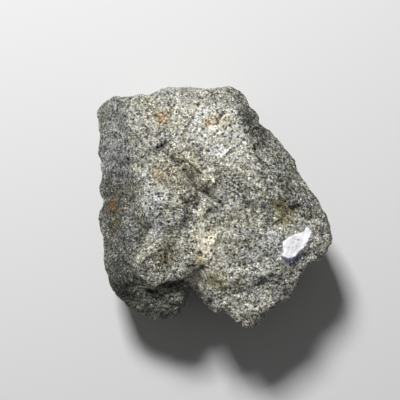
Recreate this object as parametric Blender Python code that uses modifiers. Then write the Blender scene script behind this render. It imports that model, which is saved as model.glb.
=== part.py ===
"""A hand specimen of pale grey feldspar rock, lying on its flattest side.

The stone is one broken block, so it is one solid. Its plan is a closed curve. Flat facets
bound it above and below, and its top carries the ridges, hollows and ledges of the broken
rock. The tables are in millimetres and degrees, the mesh is in metres. X runs across the
stone, Y away from its notched edge, and Z up from what it rests on.
"""

import math

import bmesh
import bpy
import numpy as np
from mathutils import Vector, noise

MM = 0.001

# Driving dimensions. THICKNESS is that of the upright block before it is roughened: the
# finished stone is 101 wide, 102 long and 50 thick. REST_DEPTH is how much the underside is
# cut level, and UNDERCUT the share by which the walls lean in on their way down.
THICKNESS = 49.0
THINNEST = 1.0
HALF_LENGTH = 50.0
REST_DEPTH = 1.6
REST_SNAP = 0.1
UNDERCUT = 0.05
EDGE_ROUNDING = 0.7
TRIANGLES = 9000

# Point spacing of the working meshes, and how often the roughened skin is smoothed.
BLOCK_VOXEL = 1.1
SKIN_VOXEL = 0.8
SOFTENING = 2
SHARP_ANGLE = 35.0

# The plan from above, anticlockwise from the bottom of the notch in the front edge.
OUTLINE = (
    (-10.5, -33.0), (-6.5, -38.5), (-3.0, -42.0), (1.5, -44.5), (4.5, -44.0), (8.0, -46.5),
    (11.5, -49.5), (15.5, -50.5), (19.0, -48.0), (24.0, -42.0), (27.0, -40.0), (29.0, -39.5),
    (32.5, -35.0), (34.5, -32.0), (37.5, -27.0), (42.0, -23.5), (44.0, -23.0), (46.5, -17.0),
    (48.5, -12.5), (47.0, -6.5), (43.0, 0.5), (37.0, 9.5), (34.0, 16.0), (31.0, 21.0),
    (27.0, 26.0), (22.5, 30.0), (19.0, 34.0), (18.5, 38.5), (15.0, 43.5), (13.5, 48.5),
    (8.0, 50.0), (3.5, 49.0), (0.0, 48.0), (-5.0, 48.0), (-8.0, 49.0), (-12.5, 50.5),
    (-18.5, 50.0), (-26.5, 46.5), (-34.5, 46.0), (-39.0, 46.0), (-44.5, 47.0), (-50.5, 44.5),
    (-50.0, 37.5), (-48.0, 30.5), (-49.0, 25.5), (-48.5, 21.5), (-47.5, 17.0), (-47.5, 13.0),
    (-49.5, 8.5), (-46.5, 2.5), (-49.0, -6.0), (-47.5, -12.0), (-47.0, -22.5),
    (-44.5, -29.5), (-40.5, -36.5), (-34.0, -43.5), (-27.0, -47.0), (-21.0, -48.0),
    (-15.0, -44.5), (-13.0, -38.5),
)

# Facets of the top: a point on the plane, its slope, and the azimuth that it faces, from X
# towards Y. The lowest plane over each spot is the surface.
TOP_FACETS = {
    "crown_back": ((-10.0, 10.0, 49.0), 13.0, 95.0),
    "crown_front": ((-8.0, 4.0, 48.6), 6.0, -80.0),
    "crown_left": ((-24.0, 8.0, 48.4), 9.0, 172.0),
    "right_block": ((12.0, -4.0, 47.6), 9.0, -12.0),
    "right_strip": ((20.5, 19.0, 46.0), 50.0, 36.0),
    "right_corner": ((42.0, -12.0, 41.0), 40.0, -8.0),
    "left_flank": ((-32.6, 6.0, 46.0), 55.0, 181.0),
    "upper_left_corner": ((-37.2, 38.0, 40.0), 26.0, 150.0),
    "front_left_corner": ((-39.0, -27.5, 42.0), 55.0, -127.0),
    "front_right": ((14.0, -37.0, 43.0), 24.0, -86.0),
    "front_right_corner": ((33.0, -30.0, 41.5), 30.0, -46.0),
    "back_right_corner": ((10.0, 44.5, 39.0), 38.0, 52.0),
    "back_edge": ((-12.0, 48.6, 38.0), 60.0, 92.0),
    "front_left_lobe": ((-21.0, -36.0, 43.0), 46.0, -112.0),
}

# Facets of the underside: where each leaves the ground, its slope, and its azimuth.
UNDER_FACETS = {
    "left": ((-29.0, 6.0), 41.0, 184.0),
    "back_left": ((-27.0, 30.0), 36.0, 128.0),
    "back": ((-8.0, 35.0), 46.0, 86.0),
    "right": ((23.0, 12.0), 44.0, 31.0),
    "right_corner": ((34.0, -12.0), 43.0, -12.0),
    "front_right": ((22.0, -26.0), 40.0, -52.0),
    "front": ((6.0, -33.0), 48.0, -94.0),
    "front_left": ((-24.0, -28.0), 38.0, -136.0),
}

# Ledges: the ground to the right of each line, as it is walked, lies lower by the drop at
# each point. The face of the ledge is as wide as given, and the ground rises again over
# the reach.
LEDGES = {
    "front_ledge": (
        ((-33.0, -33.5, 0.8), (-28.5, -35.0, 2.5), (-24.5, -36.0, 4.5), (-21.0, -34.5, 5.0),
         (-17.5, -33.0, 5.5), (-14.0, -32.5, 5.5), (-10.5, -31.0, 5.5), (-9.0, -31.5, 5.5),
         (-8.0, -34.0, 5.5), (-5.0, -38.0, 5.5), (-1.0, -44.0, 5.5)),
        1.6, 17.0,
    ),
    "corner_block": (
        ((-33.5, 46.0, 2.6), (-34.0, 38.5, 2.4), (-34.0, 32.5, 2.0), (-34.0, 26.0, 1.4),
         (-34.5, 20.0, 0.6)),
        1.0, 13.0,
    ),
    "flank_rim": (
        ((-35.5, 16.5, 0.4), (-32.0, 11.5, 1.4), (-29.5, 5.0, 2.2), (-28.5, 1.0, 2.4),
         (-28.5, -5.0, 2.0), (-25.0, -11.5, 0.6)),
        1.6, 9.0,
    ),
    "bulge_rim": (
        ((-22.5, -9.0, 0.4), (-24.5, -12.0, 1.6), (-27.0, -15.0, 2.4), (-28.5, -19.5, 3.0),
         (-30.0, -22.5, 3.2), (-32.0, -25.0, 3.0), (-33.0, -28.0, 2.4), (-30.5, -31.0, 1.2)),
        1.6, 6.0,
    ),
    "valley_bank": (
        ((-2.5, 1.0, 0.6), (-5.0, -2.0, 1.6), (-6.0, -5.5, 2.4), (-6.0, -10.0, 2.6),
         (-6.0, -15.0, 2.0), (-5.0, -19.0, 1.4), (-5.0, -24.5, 1.8), (-4.0, -28.5, 3.2),
         (-3.5, -34.5, 3.6)),
        1.5, 6.0,
    ),
    "front_lobe_ledge": (
        ((1.5, -33.5, 0.4), (6.0, -35.5, 1.0), (10.5, -36.0, 1.5), (14.5, -34.5, 1.5),
         (18.0, -32.0, 1.4), (22.0, -31.5, 1.4), (26.5, -31.5, 1.2), (29.5, -33.0, 0.6)),
        2.2, 9.0,
    ),
}

# Crests and grooves: the height at each point of the line, and the half width.
CRESTS = {
    "valley_head": (
        ((-17.5, 17.5, -1.2), (-15.0, 16.0, -1.8), (-12.0, 15.0, -2.0), (-9.5, 11.5, -2.2),
         (-7.0, 8.0, -2.4), (-4.5, 4.5, -2.0), (-1.5, 1.5, -0.8)),
        2.2,
    ),
    "valley_side_groove": (
        ((-12.0, 16.5, -0.8), (-8.0, 15.5, -1.2), (-6.0, 13.0, -0.6)),
        1.3,
    ),
    "valley_lip": (
        ((-9.0, 19.5, 0.4), (-7.5, 17.5, 1.2), (-5.0, 13.0, 1.2), (-4.0, 11.5, 0.4)),
        1.4,
    ),
    "valley_floor": (
        ((-9.0, 0.5, -0.8), (-9.0, -4.5, -1.6), (-10.0, -8.0, -1.8), (-11.0, -11.0, -1.4),
         (-13.5, -14.0, -0.6)),
        3.0,
    ),
    "notch_groove": (
        ((-8.5, -28.0, -0.8), (-6.5, -30.5, -3.0), (-6.5, -33.0, -4.2), (-7.5, -36.0, -4.6)),
        2.6,
    ),
    "long_ridge": (
        ((-3.5, -2.5, 0.8), (-4.5, -5.5, 1.2), (-4.5, -10.5, 1.3), (-4.5, -15.5, 1.2),
         (-3.5, -19.0, 1.2), (-2.5, -23.0, 0.9)),
        1.8,
    ),
    "arch": (
        ((-4.0, -4.5, 0.8), (-3.0, -2.0, 1.1), (-0.5, -0.5, 1.1), (1.5, 0.0, 1.0),
         (4.0, -2.5, 0.9), (5.0, -5.5, 0.4)),
        1.2,
    ),
    "left_bulge_hollow": (
        ((-16.0, -15.0, -0.8), (-17.5, -20.0, -1.5), (-18.5, -25.0, -1.5),
         (-19.5, -30.0, -0.8)),
        3.2,
    ),
    "left_flank_groove": (
        ((-33.5, 0.0, -0.8), (-34.0, -5.5, -1.6), (-32.0, -11.0, -1.2), (-29.5, -15.5, -1.6)),
        1.8,
    ),
    "lobe_dent": (
        ((6.0, -46.0, -2.6), (6.5, -42.0, -1.2)),
        1.6,
    ),
    "right_strip_step": (
        ((17.5, 24.0, -0.5), (18.5, 21.5, -1.3), (20.0, 17.5, -1.5), (22.0, 13.5, -1.0),
         (23.5, 11.0, -0.3)),
        1.3,
    ),
    "right_strip_crest": (
        ((20.0, 20.5, 0.6), (23.0, 15.5, 1.0), (25.0, 13.5, 0.8), (26.5, 6.5, 0.6),
         (29.0, 2.0, 0.9), (33.0, -1.5, 0.6)),
        1.3,
    ),
    "block_streak": (
        ((15.0, 7.5, 0.8), (19.5, 4.0, 0.8)),
        1.3,
    ),
    "block_groove": (
        ((13.0, 0.5, -0.7), (16.5, -1.5, -1.0), (19.5, -3.5, -0.7)),
        1.0,
    ),
    "back_groove": (
        ((-16.5, 43.5, -1.2), (-17.5, 38.5, -1.2), (-18.0, 34.5, -0.6)),
        1.4,
    ),
    "crown_groove": (
        ((-13.0, 25.0, -0.8), (-10.0, 31.5, -1.0), (-7.5, 37.0, -1.0), (-5.5, 41.5, -0.8)),
        1.2,
    ),
    "back_crack": (
        ((1.0, 33.0, -0.6), (2.5, 35.0, -1.5), (5.0, 38.5, -1.3)),
        1.2,
    ),
}

# Lumps and hollows: middle, height, half length, half width, and the length's azimuth.
SWELLS = {
    "pit": ((-20.0, 22.0), -3.6, 2.8, 1.9, 35.0),
    "pit_brow": ((-24.0, 22.5), 2.0, 3.0, 2.4, 60.0),
    "arch_hollow": ((0.0, -4.5), -1.3, 2.2, 1.8, 90.0),
    "ridge_knob": ((-0.5, -18.0), 1.4, 3.8, 2.6, 60.0),
    "olive_lump": ((-2.5, 9.0), 1.3, 2.4, 1.8, 60.0),
    "olive_lump_hollow": ((0.0, 7.0), -0.8, 2.8, 1.6, 95.0),
    "crown_hollow": ((-4.0, 20.0), -1.1, 2.6, 1.6, -60.0),
    "crown_right_lump": ((7.0, 37.5), 1.2, 2.2, 1.6, 50.0),
    "block_hollow": ((12.5, 11.0), -1.0, 2.6, 2.2, 60.0),
    "brown_hollow": ((30.5, -4.0), -1.7, 4.6, 3.0, -50.0),
    "right_hollow": ((24.0, -9.0), -1.1, 2.0, 1.6, 70.0),
    "front_hollow": ((13.5, -25.0), -1.0, 5.0, 2.4, 0.0),
    "corner_hollow": ((37.0, -22.5), -1.3, 4.2, 2.8, 25.0),
    "upper_left_hollow": ((-35.0, 16.5), -1.4, 3.4, 2.2, 30.0),
    "corner_block_hollow": ((-38.5, 28.5), -1.2, 3.6, 2.4, 100.0),
    "left_edge_hollow": ((-41.0, 6.0), -1.4, 3.4, 2.6, 80.0),
    "left_edge_lump": ((-43.5, -6.0), 1.6, 4.0, 3.2, 90.0),
    "crown_swell": ((-18.5, 10.5), 1.2, 9.0, 6.0, 70.0),
    "bulge_swell": ((-25.0, -22.0), 1.2, 7.0, 4.0, 65.0),
    "right_swell": ((8.0, -10.0), 0.9, 9.0, 6.0, -60.0),
    "lobe_swell": ((14.5, -42.5), 1.2, 6.0, 3.4, 10.0),
    "left_lobe_swell": ((-19.0, -41.5), 2.0, 7.0, 3.6, 5.0),
    "back_swell": ((-11.5, 39.0), 0.9, 7.0, 4.0, 0.0),
}

# Chips: the size of the scallops where chips broke off, and the height from floor to crest.
# CHIP_LEVEL is the share of a scallop's size at which its rim is level with the skin, and
# CHIP_WARP how far a rim strays from straight, over waves CHIP_WAVE times as fine. CHIP_SEED
# fixes the way in which the rims stray.
CHIPS = ((13.0, 1.8), (6.0, 0.9))
CHIP_SEED = 17
CHIP_LEVEL = 0.3
CHIP_WARP = 0.4
CHIP_WAVE = 1.7
# Lumps and the walls' dents: the wavelength and the height.
LUMPS = ((14.0, 0.9), (5.0, 0.5), (2.6, 0.3))
WALL_DENTS = ((22.0, 5.0), (10.0, 2.5))
SEED_OFFSET = Vector((31.7, 8.3, 54.1))
# Skin that faces down this squarely rests on the ground, where the roughness is less.
RESTING_FROM = 0.85
RESTING_TO = 0.95
RESTING_ROUGHNESS = 0.35


def smooth_step(value):
    """0 below 0, 1 above 1, and a smooth rise between."""
    value = np.clip(value, 0.0, 1.0)
    return value * value * (3.0 - 2.0 * value)


def toward(azimuth):
    """The unit vector of the plan that points to this azimuth."""
    azimuth = math.radians(azimuth)
    return np.array((math.cos(azimuth), math.sin(azimuth)))


def mesh_points(mesh):
    """The mesh's points as an array, in millimetres."""
    points = np.empty(len(mesh.vertices) * 3)
    mesh.vertices.foreach_get("co", points)
    return points.reshape(-1, 3) / MM


def set_points(mesh, points):
    mesh.vertices.foreach_set("co", (points * MM).ravel())
    mesh.update()


def point_normals(mesh):
    normals = np.empty(len(mesh.vertices) * 3)
    mesh.vertex_normals.foreach_get("vector", normals)
    return normals.reshape(-1, 3)


def apply_modifiers(obj):
    """Makes what the object's modifiers give its own mesh, and drops them."""
    graph = bpy.context.evaluated_depsgraph_get()
    old = obj.data
    obj.data = bpy.data.meshes.new_from_object(obj.evaluated_get(graph))
    obj.modifiers.clear()
    bpy.data.meshes.remove(old)


def remesh(obj, voxel):
    """Gives the object an even skin of quads, this far apart."""
    even = obj.modifiers.new("even_skin", "REMESH")
    even.mode = "VOXEL"
    even.voxel_size = voxel * MM
    apply_modifiers(obj)


def outline_block(collection):
    """An upright block with the stone's plan, from the ground to its full thickness."""
    curve = bpy.data.curves.new("plan", "CURVE")
    curve.dimensions = "2D"
    curve.fill_mode = "BOTH"
    curve.extrude = THICKNESS / 2 * MM
    curve.resolution_u = 6
    spline = curve.splines.new("BEZIER")
    spline.bezier_points.add(len(OUTLINE) - 1)
    spline.use_cyclic_u = True
    for point, (x, y) in zip(spline.bezier_points, OUTLINE):
        point.co = (x * MM, y * MM, 0.0)
        point.handle_left_type = point.handle_right_type = "AUTO"
    plan = bpy.data.objects.new("plan", curve)
    collection.objects.link(plan)
    plan.location.z = THICKNESS / 2 * MM

    graph = bpy.context.evaluated_depsgraph_get()
    mesh = bpy.data.meshes.new_from_object(plan.evaluated_get(graph))
    mesh.transform(plan.matrix_world)
    shell = bmesh.new()
    shell.from_mesh(mesh)
    bmesh.ops.remove_doubles(shell, verts=shell.verts, dist=0.01 * MM)
    shell.to_mesh(mesh)
    shell.free()
    block = bpy.data.objects.new("feldspar", mesh)
    collection.objects.link(block)
    bpy.data.objects.remove(plan)
    return block


def nearest_on_line(plan, line):
    """For each point of the plan: its distance to the line, the side of the line that it
    is on (positive to the right), and the line's own third value there."""
    best = np.full(len(plan), np.inf)
    side = np.ones(len(plan))
    value = np.zeros(len(plan))
    for (x0, y0, v0), (x1, y1, v1) in zip(line, line[1:]):
        start, step = np.array((x0, y0)), np.array((x1 - x0, y1 - y0))
        share = np.clip((plan - start) @ step / (step @ step), 0.0, 1.0)
        away = plan - start - share[:, None] * step
        distance = np.hypot(away[:, 0], away[:, 1])
        nearer = distance < best
        best = np.where(nearer, distance, best)
        turn = away[:, 0] * step[1] - away[:, 1] * step[0]
        side = np.where(nearer, np.sign(turn), side)
        value = np.where(nearer, v0 + share * (v1 - v0), value)
    return best, side, value


def relief(plan):
    """The height that ledges, crests, grooves, lumps and hollows add at points of the plan."""
    height = np.zeros(len(plan))
    for line, width, reach in LEDGES.values():
        distance, side, drop = nearest_on_line(plan, line)
        across = smooth_step(side * distance / width * 0.5 + 0.5)
        height -= drop * across * np.exp(-((distance / reach) ** 4))
    for line, width in CRESTS.values():
        distance, _, rise = nearest_on_line(plan, line)
        height += rise * np.exp(-((distance / width) ** 2))
    for middle, rise, length, width, azimuth in SWELLS.values():
        away = plan - middle
        along = away @ toward(azimuth)
        across = away @ toward(azimuth + 90.0)
        height += rise * np.exp(-((along / length) ** 2) - (across / width) ** 2)
    return height


def top_height(plan):
    """The height of the top over points of the plan."""
    total = np.zeros(len(plan))
    for (x, y, z), slope, azimuth in TOP_FACETS.values():
        run = (plan - (x, y)) @ toward(azimuth)
        total += np.exp((run * math.tan(math.radians(slope)) - z) / EDGE_ROUNDING)
    return relief(plan) - EDGE_ROUNDING * np.log(total)


def under_height(plan):
    """The height of the underside over points of the plan."""
    height = np.zeros(len(plan))
    for start, slope, azimuth in UNDER_FACETS.values():
        run = (plan - start) @ toward(azimuth)
        height = np.maximum(height, run * math.tan(math.radians(slope)))
    return height


def lumpiness(points, octaves):
    """Smooth random lumps over the points, as a height."""
    total = np.zeros(len(points))
    for wavelength, height in octaves:
        for i, point in enumerate(points):
            total[i] += height * noise.noise(Vector(point) / wavelength + SEED_OFFSET)
    return total


def chipping(points, octaves):
    """The height of shallow scallops where chips broke off, with crests between them."""
    noise.seed_set(CHIP_SEED)
    total = np.zeros(len(points))
    for size, depth in octaves:
        for i, point in enumerate(points):
            spot = Vector(point) / size + SEED_OFFSET
            distances, _ = noise.voronoi(spot + CHIP_WARP * noise.noise_vector(CHIP_WAVE * spot))
            total[i] += depth * (distances[0] - CHIP_LEVEL)
    return total


def shape_block(mesh):
    """Fits the upright block between the underside and the top, with leaning walls."""
    points = mesh_points(mesh)
    share = np.clip(points[:, 2] / THICKNESS, 0.0, 1.0)
    dents = np.abs(lumpiness(points, WALL_DENTS)) / HALF_LENGTH
    points[:, :2] *= 1.0 - ((UNDERCUT + dents) * (1.0 - share))[:, None]
    plan = points[:, :2]
    low, high = under_height(plan), top_height(plan)
    points[:, 2] = low + share * np.maximum(high - low, THINNEST)
    set_points(mesh, points)


def roughen(mesh):
    """Pushes the skin in and out along its normals, least of all where the stone rests."""
    points = mesh_points(mesh)
    normals = point_normals(mesh)
    resting = smooth_step((-normals[:, 2] - RESTING_FROM) / (RESTING_TO - RESTING_FROM))
    push = lumpiness(points, LUMPS) + chipping(points, CHIPS)
    push *= 1.0 - (1.0 - RESTING_ROUGHNESS) * resting
    set_points(mesh, points + push[:, None] * normals)


def rest_flat(mesh):
    """Cuts the underside level where it meets the ground, and sets it on the ground."""
    points = mesh_points(mesh)
    points[:, 2] = np.maximum(points[:, 2] - points[:, 2].min() - REST_DEPTH, 0.0)
    set_points(mesh, points)


def centre_on_ground(mesh):
    """Puts the middle of the plan's box at the origin, and all of the rest face at zero."""
    points = mesh_points(mesh)
    points[:, :2] -= (points[:, :2].min(axis=0) + points[:, :2].max(axis=0)) / 2
    points[points[:, 2] < REST_SNAP, 2] = 0.0
    set_points(mesh, points)


def smooth_skin(obj, repeats):
    soften = obj.modifiers.new("worn_edges", "SMOOTH")
    soften.factor = 0.5
    soften.iterations = repeats
    apply_modifiers(obj)


def rock_material():
    material = bpy.data.materials.new("feldspar_rock")
    material.use_nodes = True
    shader = material.node_tree.nodes["Principled BSDF"]
    shader.inputs["Base Color"].default_value = (0.33, 0.32, 0.28, 1.0)
    shader.inputs["Roughness"].default_value = 0.85
    shader.inputs["Metallic"].default_value = 0.0
    return material


def build_stone():
    for obj in list(bpy.data.objects):
        bpy.data.objects.remove(obj)
    collection = bpy.data.collections.new("feldspar")
    bpy.context.scene.collection.children.link(collection)

    stone = outline_block(collection)
    remesh(stone, BLOCK_VOXEL)
    shape_block(stone.data)
    remesh(stone, SKIN_VOXEL)
    smooth_skin(stone, SOFTENING)
    roughen(stone.data)
    smooth_skin(stone, 1)
    rest_flat(stone.data)

    fewer = stone.modifiers.new("fewer_faces", "DECIMATE")
    fewer.ratio = TRIANGLES / (2 * len(stone.data.polygons))
    apply_modifiers(stone)
    centre_on_ground(stone.data)

    stone.data.materials.clear()
    stone.data.materials.append(rock_material())
    stone.data.shade_smooth()
    stone.data.set_sharp_from_angle(angle=math.radians(SHARP_ANGLE))
    return stone


build_stone()
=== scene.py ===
import math

import bmesh
import bpy
import numpy as np
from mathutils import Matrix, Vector


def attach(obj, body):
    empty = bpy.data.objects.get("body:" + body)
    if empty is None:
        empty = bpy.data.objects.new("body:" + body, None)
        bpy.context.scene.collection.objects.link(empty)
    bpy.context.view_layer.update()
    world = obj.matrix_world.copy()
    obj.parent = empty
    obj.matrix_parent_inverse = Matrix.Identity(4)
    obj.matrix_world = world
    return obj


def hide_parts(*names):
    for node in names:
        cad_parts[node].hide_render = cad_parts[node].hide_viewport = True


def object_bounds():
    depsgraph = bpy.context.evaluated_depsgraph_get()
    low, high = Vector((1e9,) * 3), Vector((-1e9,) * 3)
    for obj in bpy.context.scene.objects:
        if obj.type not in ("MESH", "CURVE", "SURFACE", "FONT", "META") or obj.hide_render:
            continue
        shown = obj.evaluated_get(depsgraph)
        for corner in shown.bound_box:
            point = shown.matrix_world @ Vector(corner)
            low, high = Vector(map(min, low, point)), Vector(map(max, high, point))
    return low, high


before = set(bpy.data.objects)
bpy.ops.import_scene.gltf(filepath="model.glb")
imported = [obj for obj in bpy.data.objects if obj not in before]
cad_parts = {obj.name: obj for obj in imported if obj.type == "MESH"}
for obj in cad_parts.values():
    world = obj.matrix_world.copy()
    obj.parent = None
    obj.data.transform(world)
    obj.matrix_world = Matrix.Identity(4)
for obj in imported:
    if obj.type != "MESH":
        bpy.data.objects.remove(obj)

cad_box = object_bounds()

# Sizes below are in millimetres, in the stone's own frame.
MM = 0.001

# The skin of the stone: the spacing of its points, and how often it is worn smooth.
SKIN_SPACING = 0.61
SKIN_WEAR = 1

# Fine relief of the broken rock, as the inputs of the broken_skin tree.
BROKEN_SKIN = {
    "Lump size": 6.5,
    "Lump height": 0.5,
    "Chip size": 2.8,
    "Chip depth": 0.35,
    "Grain size": 1.3,
    "Grain lean": 0.45,
    "Seed": 4.0,
}

# Cracks and fine ridges of the top: the way each runs, its half width and its height.
LINES = {
    "ledge_crack": (
        ((-26.5, -35.4), (-24.0, -36.2), (-21.0, -34.0), (-17.6, -32.8), (-14.0, -32.6),
         (-10.4, -31.6)), 0.8, -1.2),
    "back_crack": (((2.2, 33.2), (2.5, 35.3), (4.0, 37.0), (5.8, 38.8)), 0.45, -1.6),
    "back_crack_rim": (((3.8, 34.2), (5.4, 36.4), (7.2, 38.4)), 0.6, 0.6),
    "crown_crack": (((-5.6, 41.6), (-6.8, 38.2), (-7.4, 35.6), (-9.4, 33.2), (-10.3, 30.6),
                     (-11.4, 26.6)), 0.4, -0.25),
    "crown_ridge": (((-7.4, 40.2), (-8.8, 36.4), (-10.8, 32.8), (-12.4, 29.2)), 0.5, 0.5),
    "crown_side_crack": (((-15.0, 43.2), (-16.6, 40.4), (-17.0, 37.4), (-18.6, 34.1)), 0.45, -0.6),
    "crown_side_ridge": (((-14.0, 42.0), (-15.6, 37.4), (-16.8, 34.6)), 0.6, 0.5),
    "pit_crack": (((-18.7, 20.8), (-15.9, 17.7), (-13.0, 15.6)), 0.6, -0.9),
    "long_crack": (((-11.0, 14.0), (-8.8, 11.0), (-6.9, 8.2), (-6.1, 6.2)), 0.7, -1.3),
    "long_ridge": (((-11.8, 24.4), (-10.4, 19.4), (-6.1, 14.8), (-2.4, 11.6), (0.8, 8.6)), 0.7, 1.3),
    "middle_crack": (((-6.1, 6.2), (-3.6, 4.6), (-0.8, 2.9), (2.2, 1.2), (4.4, -1.2)), 0.6, -1.2),
    "arch_side_crack": (((-6.1, 3.8), (-5.9, 0.8), (-6.2, -2.8)), 0.6, -0.9),
    "arch_rim": (((-4.9, -5.4), (-4.4, -1.5), (-3.4, 0.3), (-0.9, 1.1), (1.8, -0.8)), 0.7, 1.5),
    "strip_crack": (((17.7, 23.0), (19.2, 18.6), (21.6, 14.4)), 0.5, -1.0),
    "block_crack": (((12.7, 1.0), (15.9, -0.8), (18.4, -2.4)), 0.45, -1.0),
    "block_side_crack": (((13.2, -0.8), (16.2, -2.6), (18.0, -3.8)), 0.4, -0.6),
    "valley_crack": (((-9.6, 0.2), (-10.2, -4.6), (-11.4, -9.8)), 1.2, -0.3),
    "block_ridge": (((3.2, 18.0), (7.4, 22.6)), 0.5, 1.1),
    "block_side_ridge": (((8.2, 16.2), (11.5, 20.5)), 0.45, 0.6),
    "block_scratch": (((4.4, 17.2), (8.6, 21.8)), 0.4, -0.6),
    "streak_ridge": (((10.7, 14.4), (14.4, 10.4), (18.4, 6.6)), 0.55, 1.1),
    "strip_ridge": (((19.6, 20.6), (22.6, 16.2), (24.4, 14.4)), 0.6, 0.9),
    "strip_low_ridge": (((26.0, 7.0), (28.6, 3.0), (32.4, -0.6)), 0.6, 0.8),
    "flank_ridge": (((-33.4, 44.0), (-34.2, 38.4), (-34.0, 32.6), (-34.2, 26.0)), 0.7, 0.6),
    "bulge_ridge": (((-24.9, -12.0), (-27.1, -15.4), (-28.4, -19.6), (-30.0, -22.6),
                     (-32.0, -25.2)), 0.8, 0.7),
}
# Small pits and bumps of the top: middle, radius and height.
SPOTS = (
    ((-21.6, 22.6), 1.0, -1.2),
    ((-20.0, 23.6), 1.0, -1.4),
    ((-18.8, 24.5), 0.8, -0.8),
    ((-25.0, 24.8), 2.0, 1.0),
    ((-35.0, 26.4), 0.8, -1.0),
    ((-34.8, 18.6), 0.8, -1.1),
    ((-35.2, 16.8), 0.8, -1.1),
    ((-28.6, 15.0), 0.8, -1.0),
    ((-30.3, -14.4), 1.4, -1.2),
    ((-0.6, -3.4), 0.9, -0.8),
    ((-3.6, 9.8), 1.9, 0.8),
    ((-1.0, 8.4), 1.1, -0.7),
    ((-4.8, 21.4), 1.2, -0.8),
    ((-3.6, 18.2), 0.9, -0.9),
    ((-5.2, -20.4), 0.8, -1.6),
    ((-4.2, -26.4), 0.9, -1.4),
    ((6.2, 38.8), 1.3, 0.8),
    ((12.4, 12.2), 0.9, 0.6),
    ((11.2, 11.4), 0.7, -0.7),
    ((14.0, 29.6), 0.8, -0.9),
    ((22.9, -8.0), 1.0, -0.9),
    ((41.0, -15.6), 0.8, -0.9),
    ((-0.7, -40.2), 1.2, -1.1),
    ((14.4, -39.8), 0.8, -0.9),
    ((17.6, -41.4), 0.8, -0.9),
)

# The white paint patch: its edge, clockwise from its back corner.
PAINT_EDGE = (
    (38.4, -9.4), (39.6, -9.6), (40.9, -10.8), (40.6, -12.5), (39.3, -14.7), (38.4, -16.9),
    (37.2, -18.4), (35.6, -19.4), (34.7, -20.6), (33.8, -21.5), (32.3, -21.9), (31.5, -22.3),
    (30.1, -21.8), (28.8, -21.2), (28.4, -20.5), (29.2, -19.6), (29.0, -17.7), (28.8, -16.4),
    (29.2, -15.3), (31.2, -13.8), (32.3, -13.2), (33.8, -12.6), (36.0, -11.9), (37.5, -11.3),
    (38.1, -10.0),
)

# Stains in the top: the middle of each, how far it spreads, and its strength.
STAINS = {
    "rust": (
        ((-21.2, 37.0), 2.5, 0.8),
        ((-0.4, 34.6), 2.7, 0.55),
        ((1.6, 36.6), 1.8, 0.5),
        ((-43.2, 0.6), 3.2, 1.15),
        ((-40.9, -0.6), 1.8, 0.8),
        ((-22.4, 12.0), 3.0, 0.4),
        ((-43.6, -30.4), 1.6, 0.9),
    ),
    "olive": (
        ((28.0, -0.8), 3.4, 0.9),
        ((30.6, -4.0), 3.6, 0.9),
        ((-40.2, -7.6), 3.4, 0.55),
        ((1.2, -32.2), 3.6, 0.7),
        ((4.4, -35.0), 2.4, 0.6),
        ((-5.6, -23.0), 2.4, 0.4),
        ((-16.4, -16.0), 4.0, 0.3),
        ((-18.0, -22.5), 4.5, 0.35),
        ((5.4, 33.3), 2.6, 0.4),
        ((9.8, -34.3), 3.2, 0.4),
    ),
    "ink": (
        ((36.7, -20.2), 1.7, 0.8),
        ((34.4, -21.9), 2.0, 1.0),
        ((31.7, -22.4), 1.9, 0.9),
        ((33.4, -24.0), 1.6, 0.6),
        ((21.6, -2.0), 1.4, 0.5),
    ),
}

# How pale or dark the faces of the stone are, seen from above: the edge of each, how soft
# it is, and the tone inside, from -1 for dark to 1 for pale. The dark faces are partly
# the rock's own tone and partly painted shade on faces turned away from the lamp; the pale
# notch face is painted light over the shade of its step.
FACE_TONES_AND_PAINTED_SHADE = {
    "left_flank": (
        ((-33.4, 52.0), (-33.4, 44.0), (-34.2, 38.4), (-34.0, 32.6), (-34.2, 26.0),
         (-34.7, 20.2), (-35.6, 16.4), (-32.0, 11.4), (-29.8, 5.0), (-28.9, 1.0),
         (-28.7, -5.0), (-25.2, -12.0), (-27.2, -15.4), (-28.6, -19.6), (-30.2, -22.6),
         (-32.2, -25.2), (-33.2, -28.0), (-29.9, -31.0), (-27.4, -34.0), (-26.5, -36.0),
         (-30.0, -55.0), (-60.0, -55.0), (-60.0, 52.0)), 1.4, -0.5),
    "front_left_lobe": (
        ((-26.5, -35.6), (-24.0, -36.4), (-21.0, -34.2), (-17.6, -33.0), (-14.0, -32.8),
         (-10.4, -31.8), (-9.0, -33.0), (-9.0, -55.0), (-30.0, -55.0)), 0.8, -0.5),
    "notch_face_painted_light": (
        ((-10.7, -29.0), (-5.6, -26.6), (-3.4, -27.4), (-3.4, -33.5), (-6.4, -37.0),
         (-9.0, -33.0)), 0.8, 0.9),
    "right_strip": (
        ((5.6, 52.0), (7.3, 40.0), (10.8, 35.2), (13.2, 30.1), (14.8, 27.1), (16.9, 23.9),
         (18.9, 19.6), (22.2, 14.6), (26.2, 7.0), (28.8, 3.0), (32.6, -0.8), (38.0, -6.0),
         (60.0, -6.0), (60.0, 52.0)), 1.4, -0.45),
}
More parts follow.
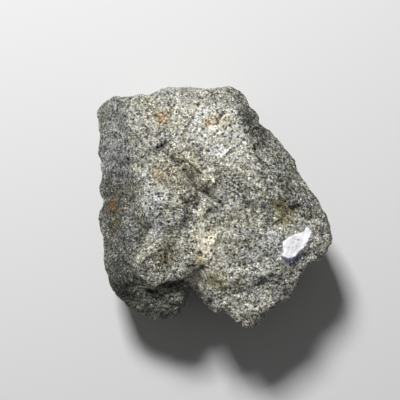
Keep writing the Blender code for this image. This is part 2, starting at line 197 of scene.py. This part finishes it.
# Softer patches of tone and of warmth: middle, reach along X and Y, how far it is turned in
# degrees, and its strength. The tone patches are partly the rock's own patchy tone and
# partly painted shade and painted light: they darken faces turned away from the lamp and
# lighten faces it leaves too dark.
PATCHES = {
    "tone": (
        (-8.0, 37.0, 25.0, 9.0, -4.0, 0.6),
        (5.0, 25.0, 13.0, 10.0, -25.0, 0.7),
        (-29.0, 26.0, 4.0, 8.0, 0.0, -0.35),
        (-22.0, 4.0, 7.0, 12.0, 10.0, 0.5),
        (-11.0, 15.5, 6.0, 5.0, 0.0, 0.3),
        (-2.4, -17.5, 5.0, 9.0, 8.0, 1.1),
        (-5.0, -10.0, 1.6, 14.0, 2.0, 0.35),
        (-27.5, -19.0, 3.0, 9.0, -32.0, 0.2),
        (-18.0, -21.5, 3.6, 9.0, 5.0, -0.7),
        (9.0, -13.0, 17.0, 14.0, 0.0, 0.35),
        # Painted light on the front lobes, which face away from the lamp.
        (13.0, -38.0, 15.0, 10.0, 0.0, 0.35),
        (4.0, -27.0, 8.0, 6.0, 0.0, 0.2),
        (20.0, -33.5, 10.0, 3.0, 5.0, -0.4),
        (44.0, -14.0, 5.0, 9.0, 0.0, 0.5),
        (-41.0, 3.0, 7.0, 11.0, 0.0, -1.0),
        (-40.0, -14.0, 6.0, 8.0, 0.0, -0.5),
        (8.5, 7.0, 6.0, 5.0, -30.0, -0.55),
        (-41.5, 38.5, 7.0, 8.0, 0.0, 0.2),
        (-41.5, 21.0, 7.0, 8.0, 0.0, 0.2),
        # Painted shade on the steep back of the right strip.
        (17.0, 34.0, 5.0, 8.0, 30.0, -2.0),
        (27.0, 13.0, 4.0, 6.0, 35.0, -0.5),
        (36.0, -1.0, 5.0, 5.0, -40.0, -0.3),
        # Painted shade on the lower left corner, turned away from the lamp.
        (-38.0, -30.0, 7.0, 8.0, 0.0, -2.1),
    ),
    "warmth": (
        (-11.0, 12.5, 9.0, 10.0, 40.0, 1.3),
        (-22.0, 38.0, 10.0, 8.0, 0.0, 0.4),
        (-24.0, -2.0, 3.5, 12.0, 8.0, -0.5),
        (-18.0, -22.0, 5.0, 9.0, 0.0, 0.3),
        (-3.0, -19.0, 6.0, 10.0, 5.0, 0.9),
        (10.0, -8.0, 12.0, 8.0, 0.0, 0.3),
        (-41.0, 4.0, 6.0, 8.0, 0.0, 0.4),
        (-41.0, -9.0, 4.0, 4.0, 0.0, 0.5),
        (-27.0, -18.0, 4.0, 8.0, -30.0, 0.4),
        (-41.0, 25.0, 8.0, 18.0, 0.0, -0.7),
        (-36.0, -12.0, 5.0, 8.0, 0.0, -0.5),
        (3.0, 28.0, 10.0, 8.0, 0.0, -0.2),
        (22.0, -19.0, 8.0, 7.0, 0.0, -0.5),
        (19.0, -33.0, 9.0, 4.0, 0.0, -0.3),
        (-10.4, -5.0, 3.0, 7.0, 0.0, -0.3),
    ),
}
# The tone of the underside.
UNDER_TONE = -0.3
# Cracks, ridges, pits and bumps are only made above this height.
TOP_HEIGHT = 15.0

# Grains of the finish, large and small, and how far apart its soft patches and seams are.
GRAIN = 0.8
SMALL_GRAIN = 0.42
TONE_PATCH = 2.6
MOTTLED_PATCH = 4.0
WARM_PATCH = 5.0
MOSSY_PATCH = 3.6
SEAM_SPACING = 4.5
# How pale the grains are, from the darkest kind to the palest.
MINERAL_GREYS = ((0.0, 0.07), (0.2, 0.2), (0.45, 0.32), (0.75, 0.405), (1.0, 0.52))
# Tints of the grains, from cool to warm.
TINTS = (
    (0.0, (0.98, 0.97, 1.0)),
    (0.25, (1.0, 0.985, 0.95)),
    (0.5, (1.0, 0.97, 0.83)),
    (0.75, (1.0, 0.935, 0.74)),
    (1.0, (1.0, 0.895, 0.67)),
)
MOSSY_TINT = (0.93, 0.975, 0.88)
# Dark specks: the size of the cells they sit in, how rare they are, and their strength.
SPECKS = ((1.2, 0.75, 0.9), (1.9, 0.7, 1.0))
SPECK_COLOUR = (0.03, 0.032, 0.04)
# The tint of each stain, and the colour where it is strongest.
STAIN_COLOURS = {
    "rust": ((1.0, 0.78, 0.54), (0.13, 0.06, 0.018)),
    "olive": ((0.84, 0.79, 0.56), (0.12, 0.098, 0.045)),
    "ink": ((0.42, 0.45, 0.72), (0.035, 0.04, 0.07)),
}
PAINT_COLOUR = (0.93, 0.93, 0.95)
PAINT_SMEAR = (0.6, 0.6, 0.72)

# The studio: the floor, the lamp, and the soft light from all round.
FLOOR_SIZE = 3000.0
FLOOR_COLOUR = (0.62, 0.62, 0.62, 1.0)
LAMP_PLACE = (-220.0, 560.0, 760.0)
LAMP_AIM = (0.0, 0.0, 20.0)
LAMP_SIZE = 220.0
LAMP_WATTS = 12.5
FILL_COLOUR = (1.0, 1.0, 1.0, 1.0)
FILL_STRENGTH = 0.12

# The camera: its height above the horizon in degrees, its distance, what it aims at, its
# lens, and how many pixels its picture is shifted by.
CAMERA_ELEVATION = 84.0
CAMERA_DISTANCE = 475.0
CAMERA_AIM = (1.07, 0.64, 24.0)
CAMERA_NEAR = 10.0
LENS = 100.0
PICTURE_WIDTH = 400
PICTURE_SHIFT = (-14.5, 7.5)


class Value:
    """A socket that Python's arithmetic works on."""

    def __init__(self, nodes, socket):
        self.nodes, self.socket = nodes, socket

    def out(self, name):
        """Another output of the same node."""
        return Value(self.nodes, self.socket.node.outputs[name])

    def __add__(self, other):
        return self.nodes.maths("ADD", self, other)

    def __radd__(self, other):
        return self.nodes.maths("ADD", other, self)

    def __sub__(self, other):
        return self.nodes.maths("SUBTRACT", self, other)

    def __rsub__(self, other):
        return self.nodes.maths("SUBTRACT", other, self)

    def __mul__(self, other):
        return self.nodes.maths("MULTIPLY", self, other)

    def __rmul__(self, other):
        return self.nodes.maths("MULTIPLY", other, self)

    def __rtruediv__(self, other):
        return self.nodes.maths("DIVIDE", other, self)

    def step(self, start, end):
        """0 where the value is at start, 1 where it is at end, smooth between them."""
        sockets = {0: self, 1: start, 2: end}
        return self.nodes.node("ShaderNodeMapRange", {"interpolation_type": "SMOOTHSTEP"}, sockets)


class Nodes:
    """A node tree, built one node at a time."""

    def __init__(self, tree):
        self.tree = tree

    def node(self, kind, settings=None, sockets=None, output=0):
        made = self.tree.nodes.new(kind)
        for name, setting in (settings or {}).items():
            if name == "stops":
                ramp = made.color_ramp
                while len(ramp.elements) < len(setting):
                    ramp.elements.new(0.5)
                for element, (place, colour) in zip(ramp.elements, setting):
                    element.position = place
                    element.color = (*colour, 1.0)
            else:
                setattr(made, name, setting)
        for name, value in (sockets or {}).items():
            if isinstance(value, Value):
                self.tree.links.new(value.socket, made.inputs[name])
            else:
                made.inputs[name].default_value = value
        return Value(self, made.outputs[output]) if made.outputs else None

    def maths(self, operation, *values):
        return self.node("ShaderNodeMath", {"operation": operation}, dict(enumerate(values)))

    def vector(self, operation, *values, output=0):
        settings = {"operation": operation}
        return self.node("ShaderNodeVectorMath", settings, dict(enumerate(values)), output)

    def scaled(self, vector, factor):
        return self.node("ShaderNodeVectorMath", {"operation": "SCALE"}, {0: vector, 3: factor})

    def noise(self, place, size, detail=0.0, output=0):
        sockets = {"Vector": place, "Scale": 1.0 / size, "Detail": detail}
        return self.node("ShaderNodeTexNoise", {}, sockets, output)

    def cells(self, place, size):
        sockets = {"Vector": place, "Scale": 1.0 / size}
        return self.node("ShaderNodeTexVoronoi", {}, sockets, "Distance")

    def warped(self, place, size, reach):
        """The place moved about by a noise, so that what reads it isn't regular."""
        push = self.vector("SUBTRACT", self.noise(place, size, output="Color"), (0.5, 0.5, 0.5))
        return self.vector("ADD", place, self.scaled(push, 2.0 * reach))

    def tilted_grains(self, place, size):
        """The height of grains that each lean their own way."""
        grains = self.cells(place, size)
        lean = self.vector("SUBTRACT", grains.out("Color"), (0.5, 0.5, 0.5))
        away = self.vector("SUBTRACT", place, grains.out("Position"))
        return self.vector("DOT_PRODUCT", lean, away, output="Value")


class Finish(Nodes):
    """A procedural material."""

    def __init__(self, name):
        self.material = bpy.data.materials.new(name)
        self.material.use_nodes = True
        self.material.node_tree.nodes.clear()
        super().__init__(self.material.node_tree)

    def millimetres(self):
        """The place on the piece, in millimetres."""
        place = self.node("ShaderNodeTexCoord", output="Object")
        return self.node("ShaderNodeMapping", {}, {"Vector": place, "Scale": (1 / MM,) * 3})

    def attribute(self, name):
        return self.node("ShaderNodeAttribute", {"attribute_name": name}, output="Fac")

    def ramp(self, value, stops):
        return self.node("ShaderNodeValToRGB", {"stops": stops}, {0: value})

    def channel(self, colour, name):
        return self.node("ShaderNodeSeparateColor", {}, {0: colour}, name)

    def blend(self, share, first, second, how="MIX"):
        settings = {"data_type": "RGBA", "blend_type": how}
        first, second = (c if isinstance(c, Value) else (*c, 1.0) for c in (first, second))
        return self.node("ShaderNodeMix", settings, {0: share, 6: first, 7: second}, 2)

    def tinted(self, colour, tint):
        return self.blend(1.0, colour, tint, "MULTIPLY")

    def shade(self, colour, amount):
        """A colour made darker or lighter by a value."""
        grey = self.node("ShaderNodeCombineColor", {}, {0: amount, 1: amount, 2: amount})
        return self.tinted(colour, grey)

    def surface(self, **sockets):
        """Ends the material in a shader with these sockets, and returns it."""
        sockets = {name.replace("_", " "): value for name, value in sockets.items()}
        shader = self.node("ShaderNodeBsdfPrincipled", {}, sockets)
        self.node("ShaderNodeOutputMaterial", {}, {"Surface": shader})
        return self.material


def smooth_step(value):
    value = np.clip(value, 0.0, 1.0)
    return value * value * (3.0 - 2.0 * value)


def mesh_points(mesh):
    points = np.empty(len(mesh.vertices) * 3)
    mesh.vertices.foreach_get("co", points)
    return points.reshape(-1, 3) / MM


def set_points(mesh, points):
    mesh.vertices.foreach_set("co", (points * MM).ravel())
    mesh.update()


def point_normals(mesh):
    normals = np.empty(len(mesh.vertices) * 3)
    mesh.vertex_normals.foreach_get("vector", normals)
    return normals.reshape(-1, 3)


def paint_points(mesh, name, values):
    layer = mesh.attributes.new(name, "FLOAT", "POINT")
    layer.data.foreach_set("value", values.astype(np.float32))


def apply_modifiers(obj):
    graph = bpy.context.evaluated_depsgraph_get()
    old = obj.data
    obj.data = bpy.data.meshes.new_from_object(obj.evaluated_get(graph))
    obj.modifiers.clear()
    bpy.data.meshes.remove(old)


def distance_to_line(plan, line):
    """How far each point of the plan is from a line of points."""
    best = np.full(len(plan), np.inf)
    for start, end in zip(np.array(line[:-1]), np.array(line[1:])):
        step = end - start
        share = np.clip((plan - start) @ step / (step @ step), 0.0, 1.0)
        away = plan - start - share[:, None] * step
        best = np.minimum(best, np.hypot(away[:, 0], away[:, 1]))
    return best


def inside_edge(plan, edge):
    """The distance of each point of the plan to a closed edge, positive inside it."""
    inside = np.zeros(len(plan), bool)
    for (x0, y0), (x1, y1) in zip(edge, edge[1:] + edge[:1]):
        spans = (y0 > plan[:, 1]) != (y1 > plan[:, 1])
        if y0 != y1:
            inside ^= spans & (plan[:, 0] < x0 + (plan[:, 1] - y0) / (y1 - y0) * (x1 - x0))
    return np.where(inside, 1.0, -1.0) * distance_to_line(plan, edge + edge[:1])


def bare_stone():
    """A copy of the solid with an even, finely spaced skin."""
    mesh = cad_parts["feldspar"].data.copy()
    shell = bmesh.new()
    shell.from_mesh(mesh)
    bmesh.ops.remove_doubles(shell, verts=shell.verts, dist=0.001 * MM)
    shell.to_mesh(mesh)
    shell.free()
    stone = bpy.data.objects.new("stone", mesh)
    bpy.context.scene.collection.objects.link(stone)
    even = stone.modifiers.new("even_skin", "REMESH")
    even.mode = "VOXEL"
    even.voxel_size = SKIN_SPACING * MM
    wear = stone.modifiers.new("wear", "SMOOTH")
    wear.iterations = SKIN_WEAR
    apply_modifiers(stone)
    return stone


def broken_skin_tree():
    """Geometry nodes that push a skin out into lumps, chips and leaning grains."""
    tree = bpy.data.node_groups.new("broken_skin", "GeometryNodeTree")
    tree.interface.new_socket("Geometry", in_out="OUTPUT", socket_type="NodeSocketGeometry")
    tree.interface.new_socket("Geometry", in_out="INPUT", socket_type="NodeSocketGeometry")
    for name in BROKEN_SKIN:
        tree.interface.new_socket(name, in_out="INPUT", socket_type="NodeSocketFloat")
    tree.interface.new_socket("Material", in_out="INPUT", socket_type="NodeSocketMaterial")
    skin = Nodes(tree)
    given = skin.node("NodeGroupInput")
    here = skin.scaled(skin.node("GeometryNodeInputPosition"), 1 / MM)
    above = skin.node("ShaderNodeSeparateXYZ", {}, {0: here}, "Z")
    place = skin.vector("ADD", here, given.out("Seed"))
    loose = skin.warped(place, 3.0, 0.9)
    lumps = 2.0 * skin.noise(place, given.out("Lump size"), 3.0) - 1.0
    chips = skin.cells(loose, given.out("Chip size")) - 0.45
    grains = skin.tilted_grains(loose, given.out("Grain size"))
    height = given.out("Lump height") * lumps + given.out("Chip depth") * chips
    height = (height + given.out("Grain lean") * grains) * above.step(0.2, 2.5)
    push = skin.scaled(skin.node("GeometryNodeInputNormal"), height * MM)
    moved = {"Geometry": given.out("Geometry"), "Offset": push}
    moved = skin.node("GeometryNodeSetPosition", {}, moved)
    solid = skin.node("GeometryNodeRealizeInstances", {}, {"Geometry": moved})
    finish = {"Geometry": solid, "Material": given.out("Material")}
    skin.node("NodeGroupOutput", {}, {0: skin.node("GeometryNodeSetMaterial", {}, finish)})
    return tree


def grow(obj, tree, sizes, material):
    """Gives an object a tree's shape, with the sizes set on the tree's named inputs."""
    modifier = obj.modifiers.new(tree.name, "NODES")
    modifier.node_group = tree
    for item in tree.interface.items_tree:
        if item.in_out == "INPUT" and item.name in sizes:
            modifier[item.identifier] = sizes[item.name]
        if item.in_out == "INPUT" and item.name == "Material":
            modifier[item.identifier] = material
    apply_modifiers(obj)


def grain_colour(rock, place, loose, tone, small):
    """Pale and dark mineral grains, tinted from cool to warm, with a mossy cast in patches."""
    kind = rock.channel(rock.cells(loose, GRAIN).out("Color"), "Red")
    mottling = rock.noise(place, MOTTLED_PATCH, 4.0) - 0.5
    greys = [(stop, (grey, grey, grey)) for stop, grey in MINERAL_GREYS]
    mineral = rock.ramp(kind + 0.16 * tone + 0.8 * mottling, greys)
    contrast = (1.6 - 0.6 * tone) * rock.noise(place, MOTTLED_PATCH, 2.0).step(0.2, 0.6)
    light = rock.maths("POWER", 1.5, tone) * rock.maths("POWER", 0.3 + 1.3 * small, contrast)
    colour = rock.shade(mineral, light)
    warmth = rock.attribute("warmth") + 2.4 * (rock.noise(loose, WARM_PATCH, 3.0) - 0.5)
    tinted = rock.tinted(colour, rock.ramp(0.5 + 0.5 * warmth, TINTS))
    colour = rock.blend(1.3 - 0.6 * kind, colour, tinted)
    mossy = rock.noise(place, MOSSY_PATCH, 2.0).step(0.4, 0.65) * (0.8 - 0.5 * tone)
    return rock.blend(mossy, colour, rock.tinted(colour, MOSSY_TINT))


def seams_and_specks(rock, place, colour):
    """The colour with thin dark seams and dark specks in it, and how dark they make it."""
    seams = rock.node("ShaderNodeTexVoronoi", {"feature": "DISTANCE_TO_EDGE"}, {
        "Vector": rock.warped(place, 2.0, 0.8), "Scale": 1 / SEAM_SPACING})
    dark = seams.step(0.05, 0.0) * rock.noise(place, 5.0).step(0.5, 0.62)
    colour = rock.shade(colour, 1.0 - 0.6 * dark)
    for size, rarity, strength in SPECKS:
        specks = rock.cells(rock.warped(place, 0.7, 0.3), size)
        chosen = rock.channel(specks.out("Color"), "Red").step(rarity, rarity + 0.1)
        reach = 0.2 + 0.5 * rock.channel(specks.out("Color"), "Green")
        speck = (size * specks - reach).step(0.15, -0.15) * chosen
        colour = rock.blend(strength * speck, colour, SPECK_COLOUR)
        dark = dark + speck
    return colour, dark


def stained(rock, colour, small, edge_wobble):
    """The colour with the stains soaked into it."""
    for name, (tint, core) in STAIN_COLOURS.items():
        share = rock.attribute(name) * (1.0 + 3.0 * edge_wobble + 0.8 * (small - 0.5))
        soaked = rock.blend(0.75 * share.step(0.45, 1.05), rock.tinted(colour, tint), core)
        colour = rock.blend(share.step(0.02, 0.5), colour, soaked)
    return colour


def painted(rock, colour, small, edge_wobble):
    """The colour with the white patch and a thin smear round it, and where the patch is."""
    edge = rock.attribute("paint_edge") + 1.2 * edge_wobble
    smear = 0.8 * (edge + 0.6 * (small - 0.5)).step(-0.9, 0.0)
    colour = rock.blend(smear, colour, rock.blend(0.6, colour, PAINT_SMEAR))
    paint = edge.step(-0.12, 0.18)
    return rock.blend(paint, colour, PAINT_COLOUR), paint


def stone_finish():
    """The rock's grains, seams, specks, stains and paint, with painted shade in its cracks and
    painted highlights on its ridges, and a rough, grainy surface.
    """
    rock = Finish("feldspar_rock")
    place = rock.millimetres()
    loose = rock.warped(place, 1.2, 0.3)
    # The tone carries the rock's own tone and also the painted shade and painted light of the faces
    # and patches.
    tone = rock.attribute("tone") + 0.5 * (rock.noise(place, TONE_PATCH, 3.0) - 0.5)
    small = rock.channel(rock.cells(loose, SMALL_GRAIN).out("Color"), "Red")
    edge_wobble = rock.noise(place, 1.2, 2.0) - 0.5

    colour = grain_colour(rock, place, loose, tone, small)
    colour, dark = seams_and_specks(rock, place, colour)
    colour = stained(rock, colour, small, edge_wobble)
    # Painted shade darkens the cracks and pits, and painted highlight lightens the ridges.
    colour = rock.shade(colour, 1.0 - 0.75 * rock.attribute("hollow"))
    colour, paint = painted(rock, colour, small, edge_wobble)

    height = 0.5 * rock.tilted_grains(loose, GRAIN) + 0.5 * rock.tilted_grains(loose, SMALL_GRAIN)
    height = height + 0.12 * rock.noise(place, 0.5, 2.0) - 0.12 * dark
    height = height * (1.0 - 0.4 * tone) * (1.0 - 0.8 * paint)
    bump = rock.node("ShaderNodeBump", {}, {"Distance": MM, "Height": height})
    roughness = 0.86 - 0.3 * small - 0.1 * paint
    return rock.surface(Base_Color=colour, Roughness=roughness, Normal=bump)


def patch_strength(plan, middle_x, middle_y, along, across, turn, strength):
    """The strength of a soft oval patch at points of the plan."""
    turn = math.radians(turn)
    away = plan - (middle_x, middle_y)
    right = away @ (math.cos(turn), math.sin(turn)) / along
    back = away @ (-math.sin(turn), math.cos(turn)) / across
    return strength * np.exp(-((right**2 + back**2) ** 1.5))


def dress_stone(stone):
    """Opens the cracks and pits of the top, paints shade into them and highlights onto its ridges,
    and marks its tones, partly painted shade and light, its stains and its paint.
    """
    mesh = stone.data
    points, normals = mesh_points(mesh), point_normals(mesh)
    plan = points[:, :2]
    on_top = smooth_step((normals[:, 2] - 0.1) / 0.3) * (points[:, 2] > TOP_HEIGHT)
    lines = [(distance_to_line(plan, way) / width, height) for way, width, height in LINES.values()]
    spots = [(np.hypot(*(plan - middle).T) / radius, height) for middle, radius, height in SPOTS]
    shapes = [height * np.exp(-(away**2)) for away, height in lines + spots]
    cut, raised = np.min(shapes, axis=0).clip(max=0.0), np.max(shapes, axis=0).clip(min=0.0)
    push = on_top * (cut + raised)
    set_points(mesh, points + push[:, None] * normals)
    # Painted shade for the cracks and pits and painted highlight for the ridges, from how far each
    # point was pushed in or out.
    paint_points(mesh, "hollow", np.clip(-push, -0.8, 1.0))
    to_paint, far_outside = inside_edge(plan, PAINT_EDGE), -9.0
    paint_points(mesh, "paint_edge", np.where(normals[:, 2] > 0.0, to_paint, far_outside))

    for name, spots in STAINS.items():
        stain = np.zeros(len(points))
        for middle, reach, strength in spots:
            near = np.hypot(*(plan - middle).T) < 1.0
            centre = points[near][np.argmax(points[near][:, 2])]
            away = np.linalg.norm(points - centre, axis=1)
            stain = np.maximum(stain, strength * np.exp(-((away / reach) ** 2)))
        paint_points(mesh, name, stain)

    above = smooth_step((normals[:, 2] + 0.5) / 0.5)
    for name, patches in PATCHES.items():
        total = sum(patch_strength(plan, *patch) for patch in patches)
        if name == "tone":
            # Painted shade on the faces turned away from the lamp, partly their own tone, and
            # painted light on the notch face.
            for edge, softness, strength in FACE_TONES_AND_PAINTED_SHADE.values():
                total += strength * smooth_step(0.5 + 0.5 * inside_edge(plan, edge) / softness)
            total = UNDER_TONE + above * (total - UNDER_TONE)
        paint_points(mesh, name, total)


def hold_inside_box(mesh):
    """Keeps every point inside the box of the solid."""
    low, high = (np.array(corner) / MM for corner in cad_box)
    set_points(mesh, np.clip(mesh_points(mesh), low, high))


stone = bare_stone()
grow(stone, broken_skin_tree(), BROKEN_SKIN, stone_finish())
dress_stone(stone)
hold_inside_box(stone.data)
stone.data.shade_smooth()
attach(stone, "root")
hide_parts("feldspar")


def studio():
    """A pale floor, one soft lamp and an even fill."""
    bpy.ops.mesh.primitive_plane_add(size=FLOOR_SIZE * MM)
    floor = bpy.context.object
    floor.name = "floor"
    pale = Finish("pale_floor")
    floor.data.materials.append(pale.surface(Base_Color=FLOOR_COLOUR, Roughness=0.9))

    key = bpy.data.lights.new("key", "AREA")
    key.size = LAMP_SIZE * MM
    key.energy = LAMP_WATTS
    lamp = bpy.data.objects.new("key", key)
    lamp.location = Vector(LAMP_PLACE) * MM
    away = lamp.location - Vector(LAMP_AIM) * MM
    lamp.rotation_euler = away.to_track_quat("Z", "Y").to_euler()
    bpy.context.scene.collection.objects.link(lamp)

    world = bpy.data.worlds.new("soft_fill")
    bpy.context.scene.world = world
    world.use_nodes = True
    fill = world.node_tree.nodes["Background"].inputs
    fill["Color"].default_value = FILL_COLOUR
    fill["Strength"].default_value = FILL_STRENGTH
    bpy.context.scene.view_settings.view_transform = "Standard"


def photographer():
    """The camera, looking down on the stone as the photograph does."""
    elevation = math.radians(CAMERA_ELEVATION)
    camera = bpy.data.cameras.new("camera")
    camera.lens = LENS
    camera.clip_start = CAMERA_NEAR * MM
    camera.shift_x, camera.shift_y = (pixels / PICTURE_WIDTH for pixels in PICTURE_SHIFT)
    stand = bpy.data.objects.new("camera", camera)
    back = Vector((0.0, -math.cos(elevation), math.sin(elevation)))
    stand.location = (Vector(CAMERA_AIM) + CAMERA_DISTANCE * back) * MM
    stand.rotation_euler = (math.pi / 2 - elevation, 0.0, 0.0)
    bpy.context.scene.collection.objects.link(stand)
    bpy.context.scene.camera = stand


studio()
photographer()
